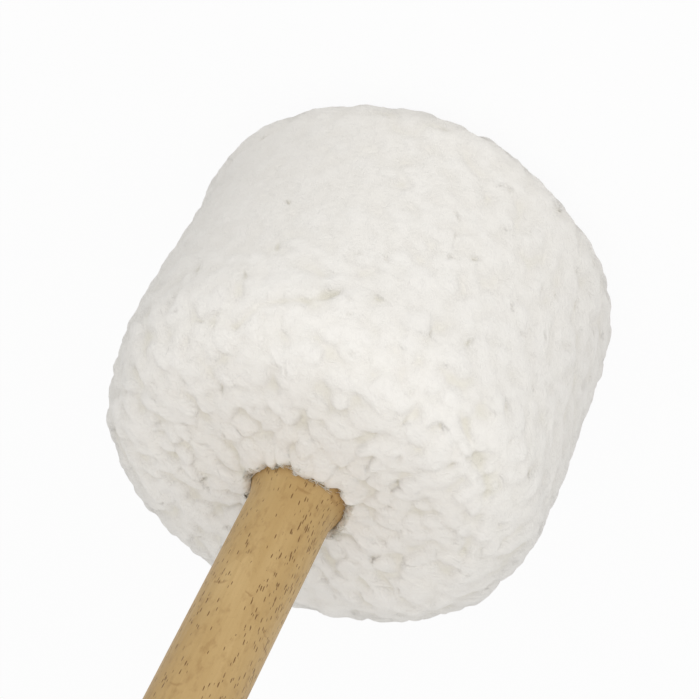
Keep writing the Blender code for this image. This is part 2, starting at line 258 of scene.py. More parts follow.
def blend(tree, factor, first, second):
    """Output of a colour mix."""
    mix = tree.nodes.new("ShaderNodeMix")
    mix.data_type = "RGBA"
    sockets = {"Factor_Float": factor, "A_Color": first, "B_Color": second}
    for socket in mix.inputs:
        value = sockets.get(socket.identifier)
        if isinstance(value, bpy.types.NodeSocket):
            tree.links.new(value, socket)
        elif value is not None:
            socket.default_value = value
    return next(socket for socket in mix.outputs if socket.identifier == "Result_Color")


def mapped(tree, vector, **settings):
    """A vector after a Mapping node."""
    inputs = {"Vector": vector} | {name.capitalize(): value for name, value in settings.items()}
    return add(tree, "ShaderNodeMapping", inputs).outputs["Vector"]


def place_of(tree, scale=(1, 1, 1)):
    """The object's own coordinates, scaled along X, Y and Z."""
    return mapped(tree, add(tree, "ShaderNodeTexCoord").outputs["Object"], scale=scale)


def parts(tree, kind, value):
    """The outputs of a node that separates a vector or a colour."""
    return add(tree, kind, {0: value}).outputs


def cloud(tree, vector, scale=1.0, detail=3.0, roughness=0.5, swirl=0.0):
    """Output of a noise texture."""
    inputs = {"Vector": vector, "Scale": scale, "Detail": detail, "Roughness": roughness}
    return add(tree, "ShaderNodeTexNoise", inputs | {"Distortion": swirl}).outputs["Fac"]


def new_material(name):
    """A material, its node tree and its Principled shader."""
    made = bpy.data.materials.new(name)
    made.use_nodes = True
    return made, made.node_tree, made.node_tree.nodes["Principled BSDF"]


def feed(tree, shader, inputs):
    """Sets or links the inputs of a shader."""
    for name, value in inputs.items():
        if isinstance(value, bpy.types.NodeSocket):
            tree.links.new(value, shader.inputs[name])
        else:
            shader.inputs[name].default_value = value


def bump(tree, height, distance, strength=1.0, below=None):
    """Normal of a bump of a real height in metres, on top of another one."""
    inputs = {"Height": height, "Distance": distance, "Strength": strength}
    if below:
        inputs["Normal"] = below
    return add(tree, "ShaderNodeBump", inputs).outputs["Normal"]


# Materials

# Ranges that most of a noise, and its upper part, lie in
NOISE_RANGE = (0.3, 0.7)
NOISE_UPPER = (0.35, 0.75)

# Fleece: its colours from the tips down, darkening and warming towards the crevices as painted shade, the
# height of the middle one as a share of the pile, and its noises
FLEECE_CREST = (0.930, 0.905, 0.860, 1)
FLEECE_BODY = (0.910, 0.880, 0.825, 1)
FLEECE_CREVICE_SHADE = (0.820, 0.785, 0.690, 1)
BODY_HEIGHT = 0.4
PATCHES_PER_METRE, PATCH_SHARE = 90, 0.25
FLUFF_PER_METRE, FLUFF_SWIRL, FLUFF_BUMP = 500, 1.6, 0.00030
FIBRES_PER_TUFT, FIBRE_BUMP = (0.7, 5.0, 1.0), 0.00012
FUZZ_PER_METRE, FUZZ_SWIRL, FUZZ_BUMP = 1800, 1.2, 0.00010


def fleece_material():
    """White wool pile with painted shade, darker and warmer, in its crevices, and swirls of fluff and fine
    fibres along each tuft.
    """
    made, tree, shader = new_material("fleece_pile")
    height = add(tree, "ShaderNodeAttribute", attribute_name="pile_height").outputs["Fac"]
    lock = add(tree, "ShaderNodeAttribute", attribute_name="tuft_place").outputs["Vector"]
    fibres = cloud(tree, mapped(tree, lock, scale=FIBRES_PER_TUFT), detail=4.0, roughness=0.6)
    fluff = cloud(tree, place_of(tree), FLUFF_PER_METRE, detail=5.0, roughness=0.65, swirl=FLUFF_SWIRL)
    fuzz = cloud(tree, place_of(tree), FUZZ_PER_METRE, detail=4.0, roughness=0.65, swirl=FUZZ_SWIRL)
    patches = cloud(tree, place_of(tree), PATCHES_PER_METRE)
    # Painted shade: the colour goes from the crest colour on the tips down to a darker, warmer crevice shade
    # where the pile is low
    colour = blend(tree, spread(tree, height, 0.0, BODY_HEIGHT), FLEECE_CREVICE_SHADE, FLEECE_BODY)
    colour = blend(tree, spread(tree, height, BODY_HEIGHT, 1.0), colour, FLEECE_CREST)
    colour = blend(tree, spread(tree, patches, *NOISE_UPPER, 0.0, PATCH_SHARE), colour, FLEECE_BODY)
    relief = bump(tree, fluff, FLUFF_BUMP, strength=0.9)
    relief = bump(tree, fibres, FIBRE_BUMP, strength=0.4, below=relief)
    relief = bump(tree, fuzz, FUZZ_BUMP, strength=0.5, below=relief)
    feed(tree, shader, {
        "Base Color": colour,
        "Roughness": 0.95,
        "Normal": relief,
        "Sheen Weight": 0.25,
        "Sheen Roughness": 0.5,
        "Specular IOR Level": 0.1,
    })
    return made


# Beech: its colours, and the share that each feature takes of them
BEECH_LIGHT = (0.610, 0.427, 0.195, 1)
BEECH_DARK = (0.470, 0.302, 0.117, 1)
BEECH_FLECK = (0.330, 0.185, 0.065, 1)
BEECH_PORE = (0.170, 0.080, 0.022, 1)
BEECH_SHADE = (0.400, 0.210, 0.070, 1)
RING_SHARE, GRAIN_SHARE, SMUDGE_SHARE = 0.25, 0.40, 0.45
FLECK_SHARE, PORE_SHARE, SHADE_SHARE = 0.55, 0.85, 0.50
GRAIN_BUMP, PORE_BUMP = 0.00004, 0.00008
BEECH_ROUGHNESS = (0.42, 0.55)

# Heights between which the fleece shades the beech
SHADE_FROM, SHADE_TO = NEAR_PLANE + 0.004, NEAR_PLANE - 0.001

# Place of the tree's pith beside the handle, and size, or number per metre, of the growth rings, the fine
# grain, the tones and the smudges, with their stretch along X, Y and Z
PITH_PLACE = (-0.025, 0.043, 0)
GRAIN_TILT = math.radians(4)
RING_SIZE, RING_STRETCH = 0.0075, (1, 1, 0.08)
GRAINS_PER_METRE, GRAIN_STRETCH = 1500, (1, 1, 0.05)
TONES_PER_METRE, TONE_STRETCH = 120, (1, 1, 0.25)
SMUDGES_PER_METRE, SMUDGE_STRETCH = 620, (1, 1, 0.5)
SMUDGE_EDGE = (0.52, 0.72)

# Pores, whose reach is a share of their cell. They stand in slanting rows with few between them, and crowd
# on one side of the handle and less on the other. Each side has two places along X, and the crowding at both
PORE_SIZE = (0.00038, 0.00038, 0.0023)
PORE_REACH, PORE_EDGE = (0.20, 0.42), 0.08
PORE_FADE = 0.05
ROW_TILT = math.radians(14)
ROW_SIZE = (0.0013, 0.0013, 0.0110)
ROW_EDGE = (0.46, 0.54)
BETWEEN_ROWS = 0.06
CROWDED_SIDE, CROWDED = (0.002, -0.005), (0.1, 1.5)
OTHER_SIDE, LESS_CROWDED = (0.003, 0.008), (0.0, 0.6)

# Curved flecks, which are arcs of wobbly rings in a few cells of a pattern, measured in shares of a cell
FLECK_SIZE = (0.0058, 0.0058, 0.0046)
FLECK_RADIUS = (0.26, 0.38)
FLECK_LINE = (0.01, 0.09)
FLECK_ARC = (0.12, 0.20)
PLAIN_CELLS = (0.76, 0.82)
WOBBLES_PER_METRE = 500


def beech_pores(tree, coordinates, grain_place):
    """1 on the short dark dashes along the grain, which stand in slanting rows and crowd on one side."""
    pore = add(tree, "ShaderNodeTexVoronoi", {
        "Vector": mapped(tree, grain_place, scale=[1 / size for size in PORE_SIZE]),
        "Scale": 1.0,
    }).outputs
    slanted = mapped(tree, coordinates, rotation=(0, -ROW_TILT, 0))
    rows = cloud(tree, mapped(tree, slanted, scale=[1 / size for size in ROW_SIZE]), detail=1.0)
    sideways = parts(tree, "ShaderNodeSeparateXYZ", coordinates)["X"]
    crowded_side = spread(tree, sideways, *CROWDED_SIDE, *CROWDED)
    other_side = spread(tree, sideways, *OTHER_SIDE, *LESS_CROWDED)
    crowd = maths(tree, "ADD", crowded_side, other_side)
    crowd = maths(tree, "MULTIPLY", crowd, spread(tree, rows, *ROW_EDGE, BETWEEN_ROWS, 1.0))
    drawn = parts(tree, "ShaderNodeSeparateColor", pore["Color"])
    present = spread(tree, maths(tree, "SUBTRACT", crowd, drawn[0]), 0.0, PORE_FADE)
    reach = spread(tree, drawn[1], 0.0, 1.0, *PORE_REACH)
    inside = spread(tree, maths(tree, "SUBTRACT", reach, pore["Distance"]), 0.0, PORE_EDGE)
    return maths(tree, "MULTIPLY", present, inside)


def beech_flecks(tree, coordinates):
    """1 on a few curved flecks across the grain."""
    place = mapped(tree, coordinates, scale=[1 / size for size in FLECK_SIZE])
    fleck = add(tree, "ShaderNodeTexVoronoi", {"Vector": place, "Scale": 1.0}).outputs
    wobble = cloud(tree, coordinates, WOBBLES_PER_METRE, detail=2.0)
    ring_edge = maths(tree, "SUBTRACT", fleck["Distance"], spread(tree, wobble, *NOISE_RANGE, *FLECK_RADIUS))
    arc = spread(tree, maths(tree, "ABSOLUTE", ring_edge), *FLECK_LINE, 1.0, 0.0)
    from_middle = add(tree, "ShaderNodeVectorMath", {0: place, 1: fleck["Position"]}, operation="SUBTRACT")
    upwards = parts(tree, "ShaderNodeSeparateXYZ", from_middle.outputs["Vector"])["Z"]
    arc = maths(tree, "MULTIPLY", arc, spread(tree, upwards, *FLECK_ARC))
    drawn = parts(tree, "ShaderNodeSeparateColor", fleck["Color"])
    return maths(tree, "MULTIPLY", arc, spread(tree, drawn[0], *PLAIN_CELLS))


def beech_material():
    """Satin beech with growth rings, pores, flecks and soft smudges, browner where the fleece shades it."""
    made, tree, shader = new_material("beech_wood")
    coordinates = place_of(tree)
    grain_place = mapped(
        tree, coordinates, location=[-value for value in PITH_PLACE], rotation=(GRAIN_TILT, GRAIN_TILT, 0)
    )
    rings = add(tree, "ShaderNodeTexWave", {
        "Vector": mapped(tree, grain_place, scale=RING_STRETCH),
        "Scale": 1 / RING_SIZE,
        "Distortion": 2.5,
        "Detail": 2.0,
        "Detail Scale": 1.0,
    }, wave_type="RINGS", rings_direction="Z", wave_profile="SAW").outputs["Fac"]
    grain = cloud(tree, place_of(tree, GRAIN_STRETCH), GRAINS_PER_METRE, detail=4.0, roughness=0.65)
    tone = cloud(tree, place_of(tree, TONE_STRETCH), TONES_PER_METRE)
    smudges = cloud(tree, place_of(tree, SMUDGE_STRETCH), SMUDGES_PER_METRE, roughness=0.6)
    dash = beech_pores(tree, coordinates, grain_place)
    arc = beech_flecks(tree, coordinates)
    height = parts(tree, "ShaderNodeSeparateXYZ", coordinates)["Z"]
    shaded = spread(tree, height, SHADE_FROM, SHADE_TO, 0.0, SHADE_SHARE)

    colour = blend(tree, spread(tree, tone, *NOISE_RANGE), BEECH_DARK, BEECH_LIGHT)
    colour = blend(tree, maths(tree, "MULTIPLY", rings, RING_SHARE), colour, BEECH_DARK)
    colour = blend(tree, spread(tree, grain, *NOISE_UPPER, 0.0, GRAIN_SHARE), colour, BEECH_DARK)
    colour = blend(tree, spread(tree, smudges, *SMUDGE_EDGE, 0.0, SMUDGE_SHARE), colour, BEECH_FLECK)
    colour = blend(tree, maths(tree, "MULTIPLY", arc, FLECK_SHARE), colour, BEECH_FLECK)
    colour = blend(tree, maths(tree, "MULTIPLY", dash, PORE_SHARE), colour, BEECH_PORE)
    colour = blend(tree, shaded, colour, BEECH_SHADE)
    relief = bump(tree, grain, GRAIN_BUMP, strength=0.6)
    relief = bump(tree, maths(tree, "SUBTRACT", 1.0, dash), PORE_BUMP, strength=0.8, below=relief)
    feed(tree, shader, {
        "Base Color": colour,
        "Roughness": spread(tree, grain, *NOISE_RANGE, *BEECH_ROUGHNESS),
        "Normal": relief,
        "Specular IOR Level": 0.35,
    })
    return made


# Mottles of the plain materials: their height, and how much rougher or smoother they are
MOTTLE_BUMP = 0.0001
MOTTLE_ROUGHNESS = 0.05


def plain_material(name, light, dark, scale, roughness, metallic):
    """A mottled material for the pieces inside the head."""
    made, tree, shader = new_material(name)
    mottle = cloud(tree, place_of(tree, scale), detail=4.0, roughness=0.6)
    smoothest, roughest = roughness - MOTTLE_ROUGHNESS, roughness + MOTTLE_ROUGHNESS
    feed(tree, shader, {
        "Base Color": blend(tree, spread(tree, mottle, *NOISE_RANGE), dark, light),
        "Roughness": spread(tree, mottle, *NOISE_RANGE, smoothest, roughest),
        "Metallic": metallic,
        "Normal": bump(tree, mottle, MOTTLE_BUMP, strength=0.7),
    })
    return made


def dress(node, material):
    """Gives a CAD node its material."""
    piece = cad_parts[node]
    for slot in piece.material_slots:
        slot.material = material


# Shape of the cover


def crowned(radius, height):
    """Points of the plain drum, moved out by the crowns of the wall and of the nearest face."""
    across = radius / DRUM_RADIUS
    along = 2 * (height - FAR_PLANE) / DRUM_LENGTH - 1
    face = np.where(along > 0, NEAR_CROWN, -FAR_CROWN)
    return radius + WALL_CROWN * (1 - along**2) * across, height + face * (1 - across**2)


def make_meridian():
    """The cover's outline as runs, radii and heights, and the runs of its two rim seams."""
    quarter = np.linspace(0, math.pi / 2, QUARTER_POINTS)
    top = NEAR_PLANE - NECK_ROUND
    lip = handle_radius(top) + HEM_GAP
    face_start = lip + NECK_ROUND
    lip_top = crowned(face_start, NEAR_PLANE)[1]
    hem_heights = np.linspace(NEAR_PLANE - HEM_DEPTH, top, HEM_POINTS)[:-1]
    hem = (handle_radius(hem_heights) + HEM_GAP, hem_heights)
    neck = (lip + NECK_ROUND * (1 - np.cos(quarter)), top + (lip_top - top) * np.sin(quarter))
    near_inner, far_inner = DRUM_RADIUS - NEAR_RIM_RADIUS, DRUM_RADIUS - FAR_RIM_RADIUS
    near_face = crowned(np.linspace(face_start, near_inner, NEAR_FACE_POINTS)[1:], NEAR_PLANE)
    near_rim = crowned(
        near_inner + NEAR_RIM_RADIUS * np.sin(quarter[1:]),
        NEAR_PLANE - NEAR_RIM_RADIUS * (1 - np.cos(quarter[1:])),
    )
    wall_ends = NEAR_PLANE - NEAR_RIM_RADIUS, FAR_PLANE + FAR_RIM_RADIUS
    wall = crowned(DRUM_RADIUS, np.linspace(*wall_ends, WALL_POINTS)[1:-1])
    far_rim = crowned(
        far_inner + FAR_RIM_RADIUS * np.cos(quarter),
        FAR_PLANE + FAR_RIM_RADIUS * (1 - np.sin(quarter)),
    )
    far_face = crowned(np.linspace(far_inner, 0, FAR_FACE_POINTS)[1:], FAR_PLANE)
    pieces = (hem, neck, near_face, near_rim, wall, far_rim, far_face)
    radii = np.concatenate([piece[0] for piece in pieces])
    heights = np.maximum(np.concatenate([piece[1] for piece in pieces]), 0)
    runs = np.concatenate([[0], np.cumsum(np.hypot(np.diff(radii), np.diff(heights)))])

    def seam_run(inner, radius, height):
        """Run of the point at a seam's height, outside the plain part of its face."""
        seam_height = crowned(radius, height)[1]
        return runs[np.argmin(np.abs(heights - seam_height) + (radii < inner))]

    near_seam = seam_run(
        near_inner,
        near_inner + NEAR_RIM_RADIUS * math.sin(SEAM_ANGLE),
        NEAR_PLANE - NEAR_RIM_RADIUS * (1 - math.cos(SEAM_ANGLE)),
    )
    far_seam = seam_run(
        far_inner,
        far_inner + FAR_RIM_RADIUS * math.cos(SEAM_ANGLE),
        FAR_PLANE + FAR_RIM_RADIUS * (1 - math.sin(SEAM_ANGLE)),
    )
    return runs, radii, heights, near_seam, far_seam


RUNS, RADII, HEIGHTS, NEAR_SEAM, FAR_SEAM = make_meridian()
COVER_LENGTH = RUNS[-1]
NECK_RUN = RUNS[np.argmax(HEIGHTS > NEAR_PLANE - NECK_ROUND - TINY)]


def along_cover(run):
    """Radius, height and the direction of the outline (radial, upward) at each run."""
    before = clamp(run - OUTLINE_STEP, 0, COVER_LENGTH)
    after = clamp(run + OUTLINE_STEP, 0, COVER_LENGTH)
    radial = np.interp(after, RUNS, RADII) - np.interp(before, RUNS, RADII)
    upward = np.interp(after, RUNS, HEIGHTS) - np.interp(before, RUNS, HEIGHTS)
    length = np.hypot(radial, upward)
    return np.interp(run, RUNS, RADII), np.interp(run, RUNS, HEIGHTS), radial / length, upward / length


def on_cover(turn, run):
    """Points of the plain cover, and its normals, directions along the run and directions round it."""
    radius, height, radial, upward = along_cover(run)
    cosine, sine, flat = np.cos(turn), np.sin(turn), np.zeros_like(turn)
    point = np.stack([radius * cosine, radius * sine, height], -1)
    onward = np.stack([radial * cosine, radial * sine, upward], -1)
    normal = np.stack([-upward * cosine, -upward * sine, radial], -1)
    around = np.stack([-sine, cosine, flat], -1)
    return point, normal, onward, around


def bulge(turn, middle, half, amount):
    """An amount at one turn in degrees that fades away to both sides."""
    away = (np.degrees(turn) - middle + 180) % 360 - 180
    return amount * np.exp(-((away / half) ** 2))


def turned_from(turn, middle):
    """Angle from one turn to others, from half a turn back to half a turn on."""
    return (turn - middle + math.pi) % (2 * math.pi) - math.pi


def waves(points, size, seed):
    """Smooth noise from -1 to 1 at each point."""
    shift = Vector((seed, 2 * seed, 3 * seed))
    return np.array([noise.noise(Vector(point) / size + shift) for point in points.reshape(-1, 3)])


def neck_mound(turn, run):
    """How far the gathered pile rises round the handle."""
    turns, rises = zip(*NECK_EDGE)
    rise = np.interp(np.degrees(turn), turns, rises, period=360) / 1000
    return rise * smoothstep(NECK_RUN + NECK_MOUND_SPREAD, NECK_RUN, run)


def neck_gape(turn, run, height, rise):
    """How far the neck moves out from the plain cover: in with the flare as it rises, out where it gapes."""
    width = handle_radius(height + rise) - handle_radius(height) - NECK_PRESS
    coarse, fine = RAGGED_WAVES
    width += NECK_RAGGED * (1 + np.sin(coarse * turn) * np.sin(fine * turn + 1))
    width += bulge(turn, *NECK_GAPE)
    return width * smoothstep(NECK_RUN + NECK_SPREAD, NECK_RUN, run)


def simulate_cover():
    """Offset of the puffed-up cover along its normal, by rows and columns of a coarse net.

    The cover is held at the neck, the seams and the resting face, and pressure fills it between them."""
    rows = round(COVER_LENGTH / COVER_SPACING)
    run, turn = np.meshgrid(
        np.linspace(0, COVER_LENGTH - COVER_SPACING / 2, rows),
        np.linspace(0, 2 * math.pi, COVER_COLUMNS, endpoint=False),
        indexing="ij",
    )
    points, normals, _, _ = on_cover(turn, run)
    lumps = COVER_WAVES * waves(points, COVER_WAVE_SIZE, NOISE_SEEDS["cover"]).reshape(run.shape)
    start = points + normals * (lumps - COVER_PUFF)[..., None]
    faces = []
    for i in range(rows - 1):
        for j in range(COVER_COLUMNS):
            k = (j + 1) % COVER_COLUMNS
            faces.append([i * COVER_COLUMNS + j, (i + 1) * COVER_COLUMNS + j,
                          (i + 1) * COVER_COLUMNS + k, i * COVER_COLUMNS + k])
    mesh = bpy.data.meshes.new("cover")
    mesh.from_pydata(start.reshape(-1, 3).tolist(), [], faces)
    cover = bpy.data.objects.new("cover", mesh)
    bpy.context.scene.collection.objects.link(cover)
    held = cover.vertex_groups.new(name="held")
    for i in range(rows):
        reach = min(abs(run[i, 0] - NEAR_SEAM), abs(run[i, 0] - FAR_SEAM))
        resting = run[i, 0] > COVER_LENGTH - RESTING_RADIUS
        weight = 1.0 if run[i, 0] < NECK_ROUND or resting else SEAM_HOLD * (reach < COVER_SPACING / 2)
        if weight:
            held.add(list(range(i * COVER_COLUMNS, (i + 1) * COVER_COLUMNS)), weight, "REPLACE")
    cloth = cover.modifiers.new("Cloth", "CLOTH")
    cloth.settings.vertex_group_mass = "held"
    cloth.settings.use_pressure = True
    cloth.settings.uniform_pressure_force = COVER_PRESSURE
    cloth.settings.effector_weights.gravity = 0
    cloth.settings.quality = COVER_QUALITY
    scene = bpy.context.scene
    for step in range(1, COVER_FRAMES + 1):
        scene.frame_set(step)
    evaluated = cover.evaluated_get(bpy.context.evaluated_depsgraph_get()).data
    puffed = np.empty(3 * len(evaluated.vertices))
    evaluated.vertices.foreach_get("co", puffed)
    scene.frame_set(1)
    bpy.data.objects.remove(cover)
    offset = ((puffed.reshape(points.shape) - points) * normals).sum(-1)
    return COVER_PUFF * np.tanh(offset / COVER_PUFF)


def look_up(net, turn, run):
    """Values of a coarse net over the cover, between its points."""
    rows, columns = net.shape
    row = clamp(run / (COVER_LENGTH - COVER_SPACING / 2), 0, 1) * (rows - 1)
    column = turn / (2 * math.pi) * columns
    low = clamp(np.floor(row).astype(int), 0, rows - 2)
    left = np.floor(column).astype(int)
    down, over = row - low, column - left
    first, second = left % columns, (left + 1) % columns
    upper = net[low, first] * (1 - over) + net[low, second] * over
    lower = net[low + 1, first] * (1 - over) + net[low + 1, second] * over
    return upper * (1 - down) + lower * down


# Swells, creases and pits

# Swells of the cover: degrees of turn and millimetres from the neck, how far each reaches both ways, and how
# far it stands out in millimetres
SWELLS = [
    (275, 18, 75, 10, 1.3),
    (186, 58, 25, 16, 0.9),
    (176, 41, 8, 7, -0.8),
    (165, 40, 18, 8, 0.6),
    (141, 32, 7, 6, -0.5),
    (126, 31, 6, 6, -0.7),
    (20, 36, 9, 7, 0.5),
    (5, 43, 15, 8, -0.9),
    (357, 42, 6, 6, -0.5),
    (352, 84, 12, 8, -0.7),
    (340, 98, 18, 8, 0.8),
    (313, 104, 14, 8, 0.3),
    (269, 106, 12, 8, 0.5),
    (234, 105, 18, 8, -0.9),
    (190, 94, 12, 8, -0.4),
]

# Creases of the pile, each with its depth and its points, in degrees of turn and millimetres from the neck
CREASES = [
    (0.0012, [(242, 38), (236, 36), (218, 34), (201, 28), (192, 27)]),
    (0.0012, [(308, 35), (302, 40), (296, 41.5), (290, 43), (284, 47)]),
]
CREASE_WIDTH = 0.0012

# Pits of the pile, in the same measures, each turned on from the one before
PITS = [
    (332, 26), (1, 23), (14, 18), (339, 11), (356, 12.5), (55, 12.5),
    (258, 71), (238, 78), (232, 69), (238, 64), (250, 52), (244, 67),
]
PIT_DEPTH = 0.0010
PIT_TURN = 0.9

# Grooves of the seams, which are uneven in depth
SEAM_GROOVE = 0.0003
SIDE_SEAM_FADE = 0.002
GROOVE_MIDDLE, GROOVE_RANGE = 0.6, 0.8
GROOVE_WAVE_SIZE = 0.012

# Relief of the tufts in a worn place, which fades in over its edge, and on the wall
WORN_TURN, WORN_RUN = math.radians(318), 0.080
WORN_HALF_TURN, WORN_HALF_RUN = math.radians(42), 0.030
WORN_FADE = (0.5, 1.15)
WORN_RELIEF = 0.28
WALL_RELIEF = 0.68


def swelling(turn, run):
    """How far the broad swells and hollows of the sewn cover move it out."""
    total = np.zeros_like(run)
    for middle, place, half_turn, half_run, amount in SWELLS:
        beyond = (run - NECK_RUN - place / 1000) / (half_run / 1000)
        total += bulge(turn, middle, half_turn, amount / 1000) * np.exp(-(beyond**2))
    return total


def petals_at(run):
    """1 round the neck, where the tufts lie over each other like petals, and 0 where they are soft lumps."""
    return smoothstep(LUMPS_FROM, PETALS_TO, run)


def soften(stack):
    """Values over rows and columns that close round the head, averaged with their neighbours."""
    for _ in range(SOFTENING):
        stack = (np.roll(stack, 1, axis=1) + 2 * stack + np.roll(stack, -1, axis=1)) / 4
        longer = np.concatenate([stack[:1], stack, stack[-1:]])
        stack = (longer[:-2] + 2 * longer[1:-1] + longer[2:]) / 4
    return stack


def relief_at(turn, run):
    """How strongly the tufts stand out: less in the worn place that the photograph shows smoother."""
    away = np.hypot(turned_from(turn, WORN_TURN) / WORN_HALF_TURN, (run - WORN_RUN) / WORN_HALF_RUN)
    worn = WORN_RELIEF + (1 - WORN_RELIEF) * smoothstep(*WORN_FADE, away)
    return worn * (1 + (WALL_RELIEF - 1) * smoothstep(NEAR_SEAM, NEAR_SEAM + 2 * NEAR_RIM_RADIUS, run))


def groove_depth(turn, run, points):
    """Depth of the seams' grooves and of the creases and pits in the pile."""
    patches = waves(points, GROOVE_WAVE_SIZE, NOISE_SEEDS["grooves"]).reshape(turn.shape)
    patchy = GROOVE_MIDDLE + GROOVE_RANGE * patches
    depth = np.zeros_like(run)
    for seam in (NEAR_SEAM, FAR_SEAM):
        depth += SEAM_GROOVE * patchy * np.exp(-((run - seam) / CREASE_WIDTH) ** 2)
    radius = np.hypot(points[..., 0], points[..., 1])
    sideways = turned_from(turn, SIDE_SEAM_TURN)
    below_near = smoothstep(NEAR_SEAM - SIDE_SEAM_FADE, NEAR_SEAM, run)
    above_far = smoothstep(FAR_SEAM + SIDE_SEAM_FADE, FAR_SEAM, run)
    on_wall = below_near * above_far
    depth += SEAM_GROOVE * patchy * on_wall * np.exp(-(sideways * radius / CREASE_WIDTH) ** 2)
    for deepest, crease in CREASES:
        route = [on_cover(np.array(math.radians(t)), NECK_RUN + r / 1000)[0] for t, r in crease]
        nearest = np.full(run.shape, np.inf)
        for start, end in zip(route, route[1:]):
            line = end - start
            part = clamp(((points - start) @ line) / (line @ line), 0, 1)
            nearest = np.minimum(nearest, np.linalg.norm(points - start - part[..., None] * line, axis=-1))
        depth += deepest * np.exp(-(nearest / CREASE_WIDTH) ** 2)
    for number, (pit_turn, pit_run) in enumerate(PITS):
        place = np.array(math.radians(pit_turn)), NECK_RUN + pit_run / 1000
        middle, _, onward, around = on_cover(*place)
        angle = PIT_TURN * number
        lengthwise = onward * math.cos(angle) + around * math.sin(angle)
        crosswise = around * math.cos(angle) - onward * math.sin(angle)
        along = (points - middle) @ lengthwise / PARTING_HALF_LENGTH
        across = (points - middle) @ crosswise / PARTING_HALF_WIDTH
        depth += PIT_DEPTH * np.exp(-(along**2) - across**2)
    return depth


def scatter(pitch, seed):
    """Turns and runs of points in staggered rows over the whole cover, and the generator that drew them."""
    random = np.random.default_rng(seed)
    turns, runs = [], []
    for i in range(round(COVER_LENGTH / pitch)):
        run = (i + 0.5) * pitch
        count = max(1, round(2 * math.pi * np.interp(run, RUNS, RADII) / pitch))
        for j in range(count):
            jitter = random.uniform(-PILE_JITTER, PILE_JITTER, 2)
            turns.append(2 * math.pi * (j + 0.5 * (i % 2) + jitter[0]) / count)
            runs.append(run + pitch * jitter[1])
    return np.array(turns) % (2 * math.pi), clamp(np.array(runs), 0, COVER_LENGTH), random


def lying_at(turns, runs, turning):
    """Places on the cover, the way the pile lies there, and the direction across it."""
    points, normals, onward, around = on_cover(turns, runs)
    angle = FLOW_TURN * 2 * waves(points, FLOW_SIZE, NOISE_SEEDS["flow"]) + turning
    lying = -np.cos(angle)[:, None] * onward + np.sin(angle)[:, None] * around
    return points, lying, np.cross(normals, lying)


def grow(tree, points, kind, seed):
    """A layer of tufts over each point: its height, the way it leans, the place in its tufts, and the depth
    of the partings at their tips."""
    turns, runs, random = scatter(kind["pitch"], seed)
    count = len(turns)
    petals = petals_at(runs)
    turning = random.uniform(-1, 1, count) * (LUMP_TURN + (PETAL_TURN - LUMP_TURN) * petals)
    roots, lying, sideways = lying_at(turns, runs, turning)
    sizes = 1 + PILE_VARIATION * random.uniform(-1, 1, (count, 3))
    half_lengths, half_widths = kind["half_length"] * sizes[:, 0], kind["half_width"] * sizes[:, 1]
    heights = kind["height"] * sizes[:, 2] * relief_at(turns, runs)
    parted = random.uniform(0, 1, count) < PARTING_SHARE * relief_at(turns, runs)
    tilts = LUMP_TILT + (PETAL_TILT - LUMP_TILT) * petals
    weight = np.ones(len(points))
    lean = np.zeros((len(points), 3))
    place = np.zeros((len(points), 3))
    sunk = np.zeros(len(points))
    for i in range(count):
        near = [found[1] for found in tree.find_range(roots[i], max(half_lengths[i], half_widths[i]))]
        offset = points[near] - roots[i]
        along = offset @ lying[i] / half_lengths[i]
        across = offset @ sideways[i] / (half_widths[i] * (1 - TUFT_TAPER * along))
        dome = heights[i] * smoothstep(0, TUFT_FULL, 1 - along**2 - across**2) * (1 + tilts[i] * along)
        share = np.exp(dome / kind["blend"]) - 1
        weight[near] += share
        lean[near] += share[:, None] * lying[i]
        place[near] += share[:, None] * np.stack([along, across, np.full(len(near), TUFT_SHIFT * i)], -1)
        if parted[i]:
            tip = roots[i] + lying[i] * half_lengths[i]
            half_length, half_width = PARTING_HALF_LENGTH * sizes[i, 0], PARTING_HALF_WIDTH * sizes[i, 1]
            near = [found[1] for found in tree.find_range(tip, 2 * half_length)]
            offset = points[near] - tip
            across, along = offset @ lying[i] / half_width, offset @ sideways[i] / half_length
            sunk[near] += PARTING_DEPTH * sizes[i, 2] * np.exp(-(along**2) - across**2)
    return kind["blend"] * np.log(weight), lean / weight[:, None], place / weight[:, None], sunk


def grid_normals(grid):
    """Normals of a grid whose columns close round the head."""
    down = np.gradient(grid, axis=0)
    around = np.roll(grid, -1, axis=1) - np.roll(grid, 1, axis=1)
    normals = np.cross(down, around)
    return normals / np.maximum(np.linalg.norm(normals, axis=-1, keepdims=True), TINY)


def seam_sway(turn):
    """How far a rim seam wanders along the run, so that it is no perfect circle."""
    return SEAM_SWAY * sum(share * np.sin(count * turn + phase) for count, phase, share in SWAY_WAVES)


